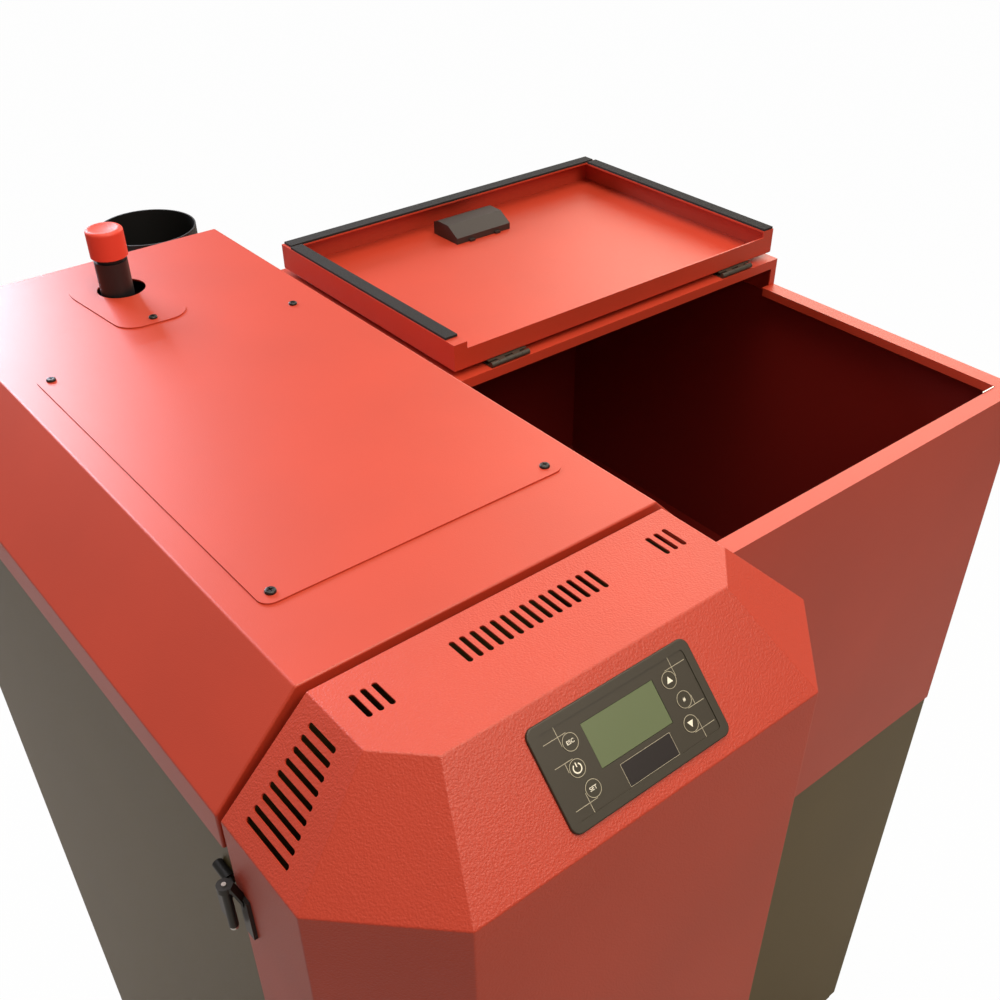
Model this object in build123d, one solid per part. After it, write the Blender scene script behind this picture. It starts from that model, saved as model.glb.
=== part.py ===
from build123d import *
import math
import os

# A wood and pellet boiler with a pellet hopper standing at its right side.
# Millimetres, +Z up. While modelling, x is measured from the boiler's left wall,
# y from the casing's front plane towards the back, and z from the floor.

# Boiler casing
foot_height = 22.0
casing_width = 535.0
casing_depth = 836.0
casing_height = 1500.0
cover_sheet = 2.0
cover_chamfer_run = 80.5
cover_chamfer_drop = 84.0
lip_height = 38.0
fold_flange = 22.0
fold_radius = 4.0
panel_sheet = 2.0
side_inset = 4.0
panel_floor_gap = 12.0
seat_gap = 0.3
rail_height = 40.0
rail_width = 60.0

# Service plate and valve plate on the top cover
plate_sheet = 1.5
service_width = 320.0
service_rear_gap = 43.0
service_front = 93.0
service_radius = 12.0
screw_inset = 14.0
service_lip = 26.0
valve_plate_front_width = 79.0
valve_plate_rear_width = 132.0
valve_plate_depth = 181.0
valve_plate_rear = 35.0
valve_plate_front_radius = 28.0
valve_plate_rear_radius = 56.0
valve_plate_turn = 3.4
valve_plate_hole_radius = 28.5
valve_plate_hole_place = 113.5
cover_hole_radius = 36.0
valve_offset = 3.0
valve_rear = 104.0
screw_radius = 2.4
screw_length = 9.0
head_radius = 5.0
head_height = 2.6
screw_clearance = 0.3

# Front cover: hood and door in one shell
hood_sheet = 1.5
hood_fold_radius = 3.0
cover_gap = 10.0
hood_reach = 204.0
corner_cut = 86.0
chamfer_run = 84.0
chamfer_drop = 81.0
slant_run = 81.0
top_corner_cut = 38.0
hood_floor_gap = 46.0
hood_flange = 14.0
slot_width = 5.0
slot_pitch = 10.0
slot_length = 28.0
slot_rear = 33.0
chamfer_slot_rear = 29.0
centre_slots = 15
side_slots = 3
side_slot_offset = 151.0
chamfer_slots = 9
chamfer_slot_start = 15.8
chamfer_slot_pitch = 10.4
chamfer_slot_margin = 25.0

# Hinges of the front cover
hinge_axis_x = -10.8
hinge_axis_y = -14.0
barrel_radius = 4.0
ring_radius = 6.2
barrel_length = 45.0
barrel_drop = 149.0
hinge_spacing = 1060.0
hinge_pin_radius = 1.9
pin_stand = 1.0
running_clearance = 0.05
arm_thickness = 6.0
arm_drop = 15.0
leaf_y = -25.0
leaf_width = 13.0
leaf_thickness = 3.5
stub_radius = 4.8
stub_length = 20.0
magnet_size = 14.0
magnet_drops = (200.0, 700.0, 1200.0)

# Control panel on the slanted face
panel_width = 165.0
panel_height = 85.0
panel_corner = 8.0
panel_offset = 57.7
bezel_rise = 2.6
bezel_border = 8.0
membrane_drop = 0.8
face_thickness = 2.2
housing_depth = 24.0
housing_wall = 2.0
window_width = 74.0
window_height = 37.0
window_shift = 7.6
window_thickness = 1.8
key_radius = 7.2
key_clearance = 0.1
key_travel = 0.5
key_height = 5.0
key_columns = ((-51.0, 18.7), (-55.5, -0.3), (-51.2, -19.0), (51.0, 18.7), (55.5, -0.3), (51.2, -19.0))
board_thickness = 1.6
board_gap = 1.5

# Boiler body: water jacket, firebox, tubes and smoke box
jacket_side = 34.0
jacket_front = 8.0
jacket_rear_space = 56.0
jacket_top_drop = 97.0
jacket_plate = 5.0
front_plate = 8.0
water_space = 35.0
firebox_plate = 6.0
smoke_box_height = 135.0
tube_length = 210.0
tube_radius = 24.0
tube_wall = 3.5
tube_columns = 4
tube_rows = 6
tube_pitch_x = 72.0
tube_pitch_y = 78.0
tube_front = 90.0
turbulator_width = 34.0
turbulator_sheet = 2.0
turbulator_rise = 14.0
hatch_thickness = 10.0
hatch_overlap = 22.0
insulation_gap = 0.4

# Doors behind the front cover
door_side_margin = 92.5
loading_opening_low = 640.0
loading_opening_height = 320.0
ash_opening_low = 130.0
ash_opening_height = 280.0
door_overlap = 26.0
door_plate = 8.0
door_shield = 24.0
door_plug = 22.0
plug_clearance = 6.0
rope_section = 10.0
rope_inset = 8.0
door_axis_offset = 18.0
door_pin_radius = 6.0
door_lug_height = 24.0
latch_shaft_radius = 8.0
latch_inset = 34.0
latch_tongue = 52.0
latch_lever = 130.0
latch_gap = 30.0
grip_radius = 11.0
keeper_thickness = 5.0
frame_margin = 34.0
grate_height = 150.0
grate_thickness = 16.0
grate_bars = 9
ash_pan_height = 70.0
ash_pan_sheet = 2.0
ash_pan_length = 420.0
grate_cut_length = 130.0
grate_cut_width = 150.0

# Relief valve, flue and pipe sockets
valve_body_radius = 19.5
valve_body_rise = 45.0
valve_cap_radius = 21.7
valve_cap_height = 33.0
valve_cap_clearance = 0.4
flue_radius = 66.0
flue_wall = 2.0
flue_x = 394.0
flue_rear_gap = 17.5
flue_top_drop = 7.5
flue_tee_length = 330.0
flue_branch_drop = 165.0
socket_radius = 21.0
socket_bore = 15.3
socket_reach = 78.0
socket_height_low = 210.0
socket_side_offset = 120.0
socket_top_drop = 220.0
drain_height = 120.0
drain_radius = 13.0
drain_length = 70.0
drain_clear_size = 28.0

# Pellet hopper
hopper_gap = 3.0
hopper_width = 585.0
hopper_front = 4.0
hopper_rim_height = 1378.5
hopper_seam_height = 836.0
rim_width = 24.0
rim_return = 12.0
bar_front = 411.0
bar_rise = 39.0
lintel_height = 13.0
post_width = 11.0
lower_inset = 2.0
lower_sheet = 2.0
vent_count = 8
vent_start = 120.0
vent_pitch = 14.0
vent_length = 120.0
bin_wall = 2.0
bin_gap = 0.3
bin_knee_height = 900.0
bin_mouth_height = 470.0
bin_mouth_width = 90.0
bin_mouth_length = 180.0

# Hopper lid
lid_inset = 5.0
lid_sheet = 2.0
lid_back_gap = 3.0
lid_lip = 20.0
lid_near_drop = 9.0
seal_thickness = 3.0
seal_width = 18.0
left_seal_start = 18.0
right_seal_start = 1.0
seal_corner_gap = 3.0
lid_hinge_inset = 85.0
lid_hinge_length = 60.0
lid_hinge_behind = 4.0
knuckle_radius = 3.5
knuckle_count = 5
knuckle_gap = 0.3
leaf_sheet = 1.5
leaf_reach = 26.0
lid_pin_radius = 1.5
rivet_radius = 3.0
rivet_height = 1.5
handle_length = 100.0
handle_width = 58.0
handle_depth = 24.0
handle_wall = 2.0
handle_flange = 6.0
handle_from_edge = 62.0

# Pellet feed and burner
feed_y = 300.0
auger_height = 400.0
auger_radius = 32.0
auger_shaft_radius = 10.0
auger_pitch = 60.0
flight_thickness = 4.0
tube_inner_radius = 35.0
auger_tube_wall = 3.0
auger_side_gap = 84.0
auger_drive_space = 101.0
chute_size = 74.0
burner_height = 270.0
burner_radius = 58.0
burner_wall = 3.0
burner_flange = 30.0
burner_reach = 60.0
burner_length = 290.0
port_clearance = 4.0
fan_radius = 78.0
fan_depth = 60.0
impeller_radius = 62.0
impeller_blades = 18
motor_radius = 42.0
motor_length = 70.0
gear_case_depth = 48.0
gear_motor_radius = 32.0
gear_motor_length = 62.0

# Levels and places that follow from the sizes above
top_z = foot_height + casing_height
centre_x = casing_width / 2
shoulder_z = top_z - chamfer_drop
cover_shoulder_z = top_z - cover_chamfer_drop
lip_z = cover_shoulder_z - lip_height
rail_top = foot_height + rail_height
panel_x = side_inset + panel_sheet
jacket_left = jacket_side
jacket_right = casing_width - jacket_side
jacket_back = casing_depth - jacket_rear_space
jacket_top = top_z - jacket_top_drop
smoke_floor = jacket_top - smoke_box_height
tube_floor = smoke_floor - tube_length
fire_left = jacket_left + jacket_plate + water_space
fire_right = casing_width - fire_left
fire_back = jacket_back - jacket_plate - water_space
fire_floor = rail_top + jacket_plate + water_space
fire_front = jacket_front + front_plate
hopper_left = casing_width + hopper_gap
hopper_right = hopper_left + hopper_width
hopper_centre = hopper_left + hopper_width / 2
rim_z = foot_height + hopper_rim_height
bar_z = rim_z + bar_rise
seam_z = foot_height + hopper_seam_height
flue_y = casing_depth + flue_rear_gap + flue_radius
chamfer_length = math.hypot(chamfer_run, chamfer_drop)
cover_chamfer_length = math.hypot(cover_chamfer_run, cover_chamfer_drop)
opening_left = door_side_margin
opening_right = casing_width - door_side_margin
valve_x = centre_x + valve_offset
valve_y = casing_depth - valve_rear
valve_plate_front = casing_depth - valve_plate_rear - valve_plate_depth
service_depth = valve_plate_front - service_rear_gap - service_front
auger_left = hopper_left + auger_side_gap
auger_length = hopper_width - auger_side_gap - auger_drive_space


def block(x0, x1, y0, y1, z0, z1):
    centre = ((x0 + x1) / 2, (y0 + y1) / 2, (z0 + z1) / 2)
    return Pos(*centre) * Box(x1 - x0, y1 - y0, z1 - z0)


def rod_x(radius, x0, x1, y, z):
    return Pos((x0 + x1) / 2, y, z) * Rot(0, 90, 0) * Cylinder(radius, x1 - x0)


def rod_y(radius, x, y0, y1, z):
    return Pos(x, (y0 + y1) / 2, z) * Rot(90, 0, 0) * Cylinder(radius, y1 - y0)


def rod_z(radius, x, y, z0, z1):
    return Pos(x, y, (z0 + z1) / 2) * Cylinder(radius, z1 - z0)


def rounded_plate(width, depth, height, corner):
    return extrude(RectangleRounded(width, depth, corner), height)


def group(solids):
    return Compound(children=list(solids))


def below(shape, point, normal):
    return split(shape, bisect_by=Plane(origin=point, z_dir=normal), keep=Keep.BOTTOM)


# Cross-section shared by the top cover, the front frame and the rear panel
def casing_outline(inset, bottom, wall_inset=None):
    wall = inset if wall_inset is None else wall_inset
    slope_shift = inset * cover_chamfer_length
    shoulder = cover_shoulder_z + (cover_chamfer_drop * wall - slope_shift) / cover_chamfer_run
    crest = (cover_chamfer_run * (cover_chamfer_drop - inset) + slope_shift) / cover_chamfer_drop
    left = [(wall, bottom), (wall, shoulder), (crest, top_z - inset)]
    right = [(casing_width - x, z) for x, z in reversed(left)]
    return left + right


def outline_prism(points, y0, y1, radius=0.0):
    face = make_face(Polyline(*points, close=True))
    if radius:
        bends = [v for v in face.vertices() if v.Y > min(p[1] for p in points) + radius]
        face = fillet(bends, radius)
    placed = Plane(origin=(0, y1, 0), x_dir=(1, 0, 0), z_dir=(0, -1, 0)) * face
    return extrude(placed, y1 - y0)


# Top cover with its service opening
def make_top_cover():
    outer = outline_prism(casing_outline(0, lip_z), 0, casing_depth, fold_radius)
    front_edges = outer.edges().filter_by(lambda e: e.bounding_box().max.Y < fold_radius / 10)
    front_edges = front_edges.filter_by(lambda e: e.bounding_box().max.Z > lip_z + fold_radius)
    outer = fillet(front_edges, fold_radius / 2)
    inside = outline_prism(casing_outline(cover_sheet, lip_z - 1), cover_sheet, casing_depth - cover_sheet)
    mouth = outline_prism(casing_outline(cover_sheet + fold_flange, lip_z - 1), -1, casing_depth + 1)
    cover = outer - inside - mouth
    service = rounded_plate(service_width - 2 * service_lip, service_depth - 2 * service_lip,
                            3 * cover_sheet, service_radius)
    cover -= Pos(centre_x, service_front + service_depth / 2, top_z - 2 * cover_sheet) * service
    cover -= rod_z(cover_hole_radius, valve_x, valve_y, top_z - 2 * cover_sheet, top_z + cover_sheet)
    for x, y in screw_places():
        cover -= rod_z(screw_radius + screw_clearance, x, y, top_z - 2 * cover_sheet, top_z + 1)
    return cover


def service_screws():
    reach_x = service_width / 2 - screw_inset
    front = service_front + screw_inset
    back = service_front + service_depth - screw_inset
    return [(centre_x + side * reach_x, y) for side in (-1, 1) for y in (front, back)]


def valve_plate_frame():
    return Pos(valve_x - 1, valve_plate_front, top_z) * Rot(0, 0, -valve_plate_turn)


def valve_screws():
    place = (valve_plate_frame() * Pos(0, screw_inset, 0)).position
    return [(place.X, place.Y)]


def screw_places():
    return service_screws() + valve_screws()


def make_service_plate():
    plate = Pos(centre_x, service_front + service_depth / 2, top_z) * rounded_plate(
        service_width, service_depth, plate_sheet, service_radius)
    for x, y in service_screws():
        plate -= rod_z(screw_radius + screw_clearance, x, y, top_z - 1, top_z + 2 * plate_sheet)
    return plate


def make_valve_plate():
    near = valve_plate_front_width / 2
    far = valve_plate_rear_width / 2
    face = make_face(Polyline((-near, 0), (near, 0), (far, valve_plate_depth), (-far, valve_plate_depth),
                              close=True))
    corners = face.vertices().group_by(Axis.Y)
    face = fillet(corners[0], valve_plate_front_radius)
    corners = face.vertices().filter_by(lambda v: v.Y > valve_plate_depth - 1)
    face = fillet(corners, valve_plate_rear_radius)
    plate = extrude(face, plate_sheet)
    plate -= Pos(0, screw_inset, 0) * Cylinder(screw_radius + screw_clearance, 4 * plate_sheet)
    plate -= Pos(0, valve_plate_hole_place, 0) * Cylinder(valve_plate_hole_radius, 4 * plate_sheet)
    return valve_plate_frame() * plate


def pan_screw(x, y, z):
    head = Pos(x, y, z + head_height / 2) * Cylinder(head_radius, head_height)
    head = fillet(head.edges().group_by(Axis.Z)[-1], head_height * 0.6)
    recess = Pos(x, y, z + head_height) * (Box(5.4, 1.2, 2.4) + Box(1.2, 5.4, 2.4))
    return head + rod_z(screw_radius, x, y, z - screw_length, z) - recess


def make_screws_and_nuts():
    screws = [pan_screw(x, y, top_z + plate_sheet) for x, y in screw_places()]
    return group(screws + hatch_nuts())


# Side, rear and front sheets of the casing
def make_side_panel():
    low = foot_height + panel_floor_gap
    high = cover_shoulder_z - fold_radius
    sheet = block(side_inset, panel_x, 0, casing_depth - cover_sheet - seat_gap, low, high)
    sheet -= block(side_inset - 1, panel_x + 1, -1, cover_sheet + seat_gap, lip_z - seat_gap, high + 1)
    sheet += block(side_inset, side_inset + fold_flange, 0, panel_sheet, low, lip_z - seat_gap)
    return sheet


def mirrored(shape):
    return mirror(shape, about=Plane.YZ.offset(centre_x))


def make_right_panel():
    panel = mirrored(make_side_panel())
    port = burner_radius + port_clearance
    return panel - rod_x(port, casing_width - 20, casing_width, feed_y, burner_height)


def make_rear_panel():
    y0 = casing_depth - cover_sheet - seat_gap - panel_sheet
    outline = casing_outline(cover_sheet + seat_gap, foot_height + panel_floor_gap, panel_x)
    sheet = outline_prism(outline, y0, y0 + panel_sheet)
    branch_z = top_z - flue_branch_drop
    sheet -= rod_y(flue_radius + port_clearance, flue_x, y0 - 1, casing_depth, branch_z)
    for x, z in socket_places():
        sheet -= rod_y(socket_radius + port_clearance, x, y0 - 1, casing_depth, z)
    sheet -= rod_y(socket_radius + port_clearance, centre_x, y0 - 1, casing_depth, drain_height)
    inlet_x, inlet_z = inlet_place()
    sheet -= block(inlet_x - 14, inlet_x + 14, y0 - 1, casing_depth, inlet_z - 10, inlet_z + 10)
    return sheet


def make_front_frame():
    y0 = panel_sheet
    outline = casing_outline(cover_sheet + seat_gap, rail_top, panel_x)
    sheet = outline_prism(outline, y0, y0 + panel_sheet)
    margin = door_overlap + frame_margin
    sheet -= block(opening_left - margin, opening_right + margin, y0 - 1, y0 + panel_sheet + 1,
                   loading_opening_low - margin, loading_opening_low + loading_opening_height + margin)
    sheet -= block(opening_left - margin, opening_right + margin, y0 - 1, y0 + panel_sheet + 1,
                   ash_opening_low - margin, ash_opening_low + ash_opening_height + margin)
    return sheet


def rail_pair(x0, x1, y0, y1):
    left = block(x0, x0 + rail_width, y0, y1, foot_height, rail_top)
    right = block(x1 - rail_width, x1, y0, y1, foot_height, rail_top)
    hollow = rail_width - 2 * panel_sheet - 6
    for x in (x0 + rail_width / 2, x1 - rail_width / 2):
        cut = block(x - hollow / 2, x + hollow / 2, y0 - 1, y1 + 1,
                    foot_height + 4, rail_top - 4)
        left -= cut
        right -= cut
    return [left, right]


def make_base_rails():
    boiler = rail_pair(jacket_left, jacket_right, jacket_front, jacket_back)
    wall = lower_inset + lower_sheet + seat_gap
    hopper = rail_pair(hopper_left + 12, hopper_right - 12, hopper_front + wall, casing_depth - wall)
    return group(boiler + hopper)


def foot(x, y):
    pad = Pos(x, y, 5) * Cylinder(24, 10)
    pad = fillet(pad.edges().group_by(Axis.Z)[-1], 3)
    nut = Pos(x, y, 10) * extrude(RegularPolygon(10, 6), 8)
    return pad + nut + rod_z(6, x, y, 9, foot_height)


def make_feet():
    inset = rail_width / 2
    boiler_x = (jacket_left + inset, jacket_right - inset)
    boiler_y = (jacket_front + 50, jacket_back - 50)
    hopper_x = (hopper_left + 12 + inset, hopper_right - 12 - inset)
    hopper_y = (hopper_front + 58, casing_depth - 60)
    places = [(x, y) for x in boiler_x for y in boiler_y]
    places += [(x, y) for x in hopper_x for y in hopper_y]
    return group(foot(x, y) for x, y in places)


# Water jacket, firebox, tubes and smoke box
def socket_places():
    x = centre_x - socket_side_offset
    return [(x, top_z - socket_top_drop), (x, socket_height_low)]


def burner_port(radius, x0, x1):
    return rod_x(radius, x0, x1, feed_y, burner_height)


def door_hole(low, height, y0, y1):
    return block(opening_left, opening_right, y0, y1, low, low + height)


def make_water_jacket():
    outer = block(jacket_left, jacket_right, jacket_front, jacket_back, rail_top, jacket_top)
    inner = block(jacket_left + jacket_plate, jacket_right - jacket_plate, fire_front,
                  jacket_back - jacket_plate, rail_top + jacket_plate, jacket_top - jacket_plate)
    jacket = outer - inner
    jacket -= door_hole(loading_opening_low, loading_opening_height, jacket_front - 1, fire_front + 1)
    jacket -= door_hole(ash_opening_low, ash_opening_height, jacket_front - 1, fire_front + 1)
    jacket -= hatch_cut(jacket_top - 2 * jacket_plate, jacket_top + 1)
    port = burner_radius + port_clearance + firebox_plate
    jacket -= burner_port(port, jacket_right - 10, jacket_right + 10)
    jacket -= rod_y(flue_radius, flue_x, jacket_back - 20, jacket_back + 1, top_z - flue_branch_drop)
    for x, z in socket_places():
        jacket += rod_y(socket_radius, x, jacket_back - jacket_plate, jacket_back + socket_reach, z)
        jacket -= rod_y(socket_bore, x, jacket_back - 20, jacket_back + socket_reach + 1, z)
    jacket += rod_z(valve_body_radius * 0.9, valve_x, valve_y, jacket_top - jacket_plate, jacket_top + 14)
    return jacket


def hatch_cut(z0, z1):
    front = tube_front - tube_pitch_y / 2
    back = front + tube_rows * tube_pitch_y
    half = tube_columns * tube_pitch_x / 2
    return block(centre_x - half, centre_x + half, front, back, z0, z1)


def make_firebox():
    outer = block(fire_left, fire_right, fire_front, fire_back, fire_floor, tube_floor)
    plate = firebox_plate
    inner = block(fire_left + plate, fire_right - plate, fire_front - 1, fire_back - plate,
                  fire_floor + plate, tube_floor + 1)
    box = outer - inner
    port = burner_radius + port_clearance
    box += burner_port(port + plate, fire_right - plate / 2, jacket_right)
    box -= burner_port(port, fire_right - 2 * plate, jacket_right + 1)
    ledge_z = grate_z() - 8
    for x0, x1 in ((fire_left + plate / 2, fire_left + 26), (fire_right - 26, fire_right - plate / 2)):
        ledge = block(x0, x1, fire_front + 20, fire_back - plate / 2, ledge_z, grate_z())
        box += ledge - burner_port(port, x0 - 1, x1 + 1)
    return box


def tube_places():
    x0 = centre_x - (tube_columns - 1) * tube_pitch_x / 2
    return [(x0 + i * tube_pitch_x, tube_front + j * tube_pitch_y)
            for i in range(tube_columns) for j in range(tube_rows)]


def make_tube_bundle():
    plates = block(fire_left, fire_right, fire_front, fire_back, tube_floor, tube_floor + 8)
    plates += block(fire_left, fire_right, fire_front, fire_back, smoke_floor - 8, smoke_floor)
    tubes = [rod_z(tube_radius, x, y, tube_floor, smoke_floor) for x, y in tube_places()]
    bores = [rod_z(tube_radius - tube_wall, x, y, tube_floor - 1, smoke_floor + 1) for x, y in tube_places()]
    return plates + tubes - bores + make_smoke_box()


def make_smoke_box():
    outer = block(fire_left, fire_right, fire_front, fire_back, smoke_floor, jacket_top - jacket_plate)
    inner = block(fire_left + firebox_plate, fire_right - firebox_plate, fire_front + firebox_plate,
                  fire_back - firebox_plate, smoke_floor - 1, jacket_top)
    box = outer - inner
    branch_z = top_z - flue_branch_drop
    neck = rod_y(flue_radius - seat_gap, flue_x, fire_back - firebox_plate / 2, jacket_back, branch_z)
    box += neck & block(fire_left, fire_right, 0, casing_depth, smoke_floor, jacket_top - jacket_plate)
    box -= rod_y(flue_radius - flue_wall - 2, flue_x, fire_back - 20, jacket_back + 1, branch_z)
    return box


def turbulator(x, y):
    low = tube_floor + 20
    half = turbulator_width / 2
    high = smoke_floor + turbulator_rise
    strip = block(x - half, x + half, y - turbulator_sheet / 2, y + turbulator_sheet / 2, low, high)
    for k in range(5):
        z = low + 30 + k * 34
        strip += Pos(x, y, z) * Rot(45 if k % 2 else -45, 0, 0) * Box(turbulator_width, 22, turbulator_sheet)
    strip += block(x - half - 5, x + half + 5, y - 4, y + 4, smoke_floor + seat_gap, smoke_floor + 5)
    return strip - rod_y(5, x, y - 10, y + 10, high - 7)


def make_turbulators():
    return group(turbulator(x, y) for x, y in tube_places())


def make_cleaning_hatch():
    front = tube_front - tube_pitch_y / 2 - hatch_overlap
    back = front + tube_rows * tube_pitch_y + 2 * hatch_overlap
    half = tube_columns * tube_pitch_x / 2 + hatch_overlap
    low = jacket_top + seat_gap
    plate = block(centre_x - half, centre_x + half, front, back, low, low + hatch_thickness)
    plate += hatch_cut(low - 12, low) & block(centre_x - half + hatch_overlap + 3,
                                              centre_x + half - hatch_overlap - 3,
                                              front + hatch_overlap + 3, back - hatch_overlap - 3,
                                              low - 12, low + 1)
    for x in (centre_x - half / 2, centre_x + half / 2):
        y = (front + back) / 2
        top = low + hatch_thickness
        bow = rod_x(6, x - 45, x + 45, y, top + 24)
        for end in (-40, 40):
            bow += rod_z(5, x + end, y, top - 1, top + 24)
        plate += bow
    return plate


def hatch_nuts():
    front = tube_front - tube_pitch_y / 2 - hatch_overlap / 2
    back = front + tube_rows * tube_pitch_y + hatch_overlap
    half = tube_columns * tube_pitch_x / 2 + hatch_overlap / 2
    low = jacket_top + seat_gap + hatch_thickness
    nuts = []
    for x in (centre_x - half, centre_x + half):
        for y in (front, back):
            nut = Pos(x, y, low) * extrude(RegularPolygon(9.5, 6), 9)
            nuts.append(nut + block(x - 20, x + 20, y - 2.5, y + 2.5, low + 9, low + 24))
    return nuts


def make_insulation():
    gap = insulation_gap
    left = block(panel_x + gap, jacket_left - gap, jacket_front, jacket_back, rail_top, lip_z - 10)
    port = burner_radius + burner_flange + port_clearance
    right = mirrored(left) - burner_port(port, jacket_right, casing_width)
    rear_y = casing_depth - cover_sheet - seat_gap - panel_sheet - gap
    rear = block(jacket_left, jacket_right, jacket_back + gap, rear_y, rail_top, jacket_top)
    rear -= rod_y(flue_radius + port_clearance, flue_x, jacket_back, casing_depth, top_z - flue_branch_drop)
    half = drain_clear_size / 2
    rear -= block(centre_x - half, centre_x + half, jacket_back, casing_depth,
                  drain_height - half, drain_height + half)
    for x, z in socket_places():
        rear -= rod_y(socket_radius + 2, x, jacket_back, casing_depth, z)
    inlet_x, inlet_z = inlet_place()
    rear -= block(inlet_x - 18, inlet_x + 18, rear_y - 26, casing_depth, inlet_z - 14, inlet_z + 14)
    return group([left, right, rear])


# Grate and ash pan inside the firebox
def grate_z():
    return fire_floor + firebox_plate + grate_height


def make_fire_grate():
    x0 = fire_left + firebox_plate + 2
    x1 = fire_right - firebox_plate - 2
    y0 = fire_front + 24
    y1 = fire_back - firebox_plate - 4
    low = grate_z() + seat_gap
    plate = block(x0, x1, y0, y1, low, low + grate_thickness)
    pitch = (x1 - x0 - 30) / grate_bars
    for k in range(grate_bars):
        x = x0 + 15 + (k + 0.5) * pitch
        plate -= block(x - pitch / 4, x + pitch / 4, y0 + 30, y1 - 30, low - 1, low + grate_thickness + 1)
    half = grate_cut_width / 2
    return plate - block(x1 - grate_cut_length, x1 + 1, feed_y - half, feed_y + half,
                         low - 1, low + grate_thickness + 1)


def make_ash_pan():
    x0 = opening_left + 8
    x1 = opening_right - 8
    y0 = fire_front + 46
    y1 = y0 + ash_pan_length
    low = fire_floor + firebox_plate + seat_gap
    s = ash_pan_sheet
    pan = block(x0, x1, y0, y1, low, low + ash_pan_height)
    pan -= block(x0 + s, x1 - s, y0 + s, y1 - s, low + s, low + ash_pan_height + 1)
    grip = rod_x(5, centre_x - 50, centre_x + 50, y0 - 14, low + ash_pan_height / 2)
    for x in (centre_x - 44, centre_x + 44):
        grip += rod_y(5, x, y0 - 14, y0 + s / 2, low + ash_pan_height / 2)
    return pan + grip


# Doors behind the front cover
def door_axis():
    return (opening_left - door_overlap - door_axis_offset, jacket_front - rope_section - door_plate / 2)


def lug_levels(low, height):
    return (low + 30, low + height - 30 - door_lug_height)


def make_door(low, height):
    x0 = opening_left - door_overlap
    x1 = opening_right + door_overlap
    z0 = low - door_overlap
    z1 = low + height + door_overlap
    back = jacket_front - rope_section - seat_gap
    front = back - door_plate
    door = block(x0, x1, front, back, z0, z1)
    door += block(x0 + 20, x1 - 62, front - door_shield, front, z0 + 20, z1 - 20)
    door += block(opening_left + plug_clearance, opening_right - plug_clearance, back,
                  jacket_front + door_plug, low + plug_clearance, low + height - plug_clearance)
    axis_x, axis_y = door_axis()
    for z in lug_levels(low, height):
        lug = block(axis_x, x0 + 6, axis_y - 6, axis_y + 6, z, z + door_lug_height)
        lug += rod_z(12, axis_x, axis_y, z, z + door_lug_height)
        door += lug
        door -= rod_z(door_pin_radius + running_clearance, axis_x, axis_y, z - 1, z + door_lug_height + 1)
    shaft_x = x1 - latch_inset
    door -= rod_y(latch_shaft_radius + running_clearance, shaft_x, front - 1,
                  front + door_plate - 1, low + height / 2)
    return door


def make_rope_seal(low, height):
    y1 = jacket_front - seat_gap / 2
    y0 = y1 - rope_section
    inset = door_overlap - rope_inset - rope_section
    outer = block(opening_left - inset - rope_section, opening_right + inset + rope_section, y0, y1,
                  low - inset - rope_section, low + height + inset + rope_section)
    hole = block(opening_left - inset, opening_right + inset, y0 - 1, y1 + 1,
                 low - inset, low + height + inset)
    return outer - hole


def make_latch(low, height):
    x = opening_right + door_overlap - latch_inset
    z = low + height / 2
    front = jacket_front - rope_section - seat_gap - door_plate
    tip = front - latch_gap - 14
    shaft = rod_y(latch_shaft_radius, x, tip, front + door_plate - 2, z)
    tongue = block(x - 9, x + 9, front - 14, front - 6, z, z + latch_tongue)
    hub = rod_y(15, x, tip, tip + 14, z)
    lever = rod_x(6, x - latch_lever, x, tip + 7, z)
    grip = Pos(x - latch_lever, tip + 7, z) * Rot(0, 90, 0) * Cylinder(grip_radius, 84)
    grip = fillet(grip.edges(), 5)
    return shaft + tongue + hub + lever + grip


def keeper(low, height):
    z = low + height / 2
    x0 = opening_right + door_overlap + 4
    x1 = x0 + 20
    front = jacket_front - rope_section - seat_gap - door_plate
    lip_y = front - 18 - keeper_thickness
    post = block(x1 - keeper_thickness, x1, lip_y, jacket_front, z - 24, z + 24)
    return post + block(x0, x1, lip_y, lip_y + keeper_thickness, z - 24, z + 24)


def make_door_hardware():
    axis_x, axis_y = door_axis()
    solids = []
    for low, height in ((loading_opening_low, loading_opening_height), (ash_opening_low, ash_opening_height)):
        for z in lug_levels(low, height):
            top = z + door_lug_height
            pin = rod_z(door_pin_radius, axis_x, axis_y, z - 18, top + 10)
            ear = block(axis_x - 10, axis_x + 10, axis_y - 10, jacket_front, z - 18, z - seat_gap)
            solids.append(pin + ear)
        solids.append(keeper(low, height))
    return group(solids)


# Front cover shell
def hood_block(inset, bottom):
    width = casing_width
    shape = block(inset, width - inset, inset - hood_reach, -cover_gap, bottom, top_z - inset)
    chamfer = Vector(-chamfer_drop, 0, chamfer_run).normalized()
    slant = Vector(0, -chamfer_drop, slant_run).normalized()
    corner = Vector(-1, -1, 0).normalized()
    low_corner = Vector(0, corner_cut - hood_reach, shoulder_z)
    high_corner = Vector(chamfer_run, top_corner_cut - hood_reach + slant_run, top_z)
    facet = Vector(1, -1, 0).cross(high_corner - low_corner).normalized()
    if facet.Z < 0:
        facet = facet * -1
    shape = below(shape, Vector(0, -hood_reach, shoulder_z) - slant * inset, slant)
    for normal, point in ((chamfer, Vector(0, 0, shoulder_z)), (corner, low_corner), (facet, low_corner)):
        moved = point - normal * inset
        shape = below(shape, moved, normal)
        shape = below(shape, Vector(width - moved.X, moved.Y, moved.Z), Vector(-normal.X, normal.Y, normal.Z))
    return shape


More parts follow.
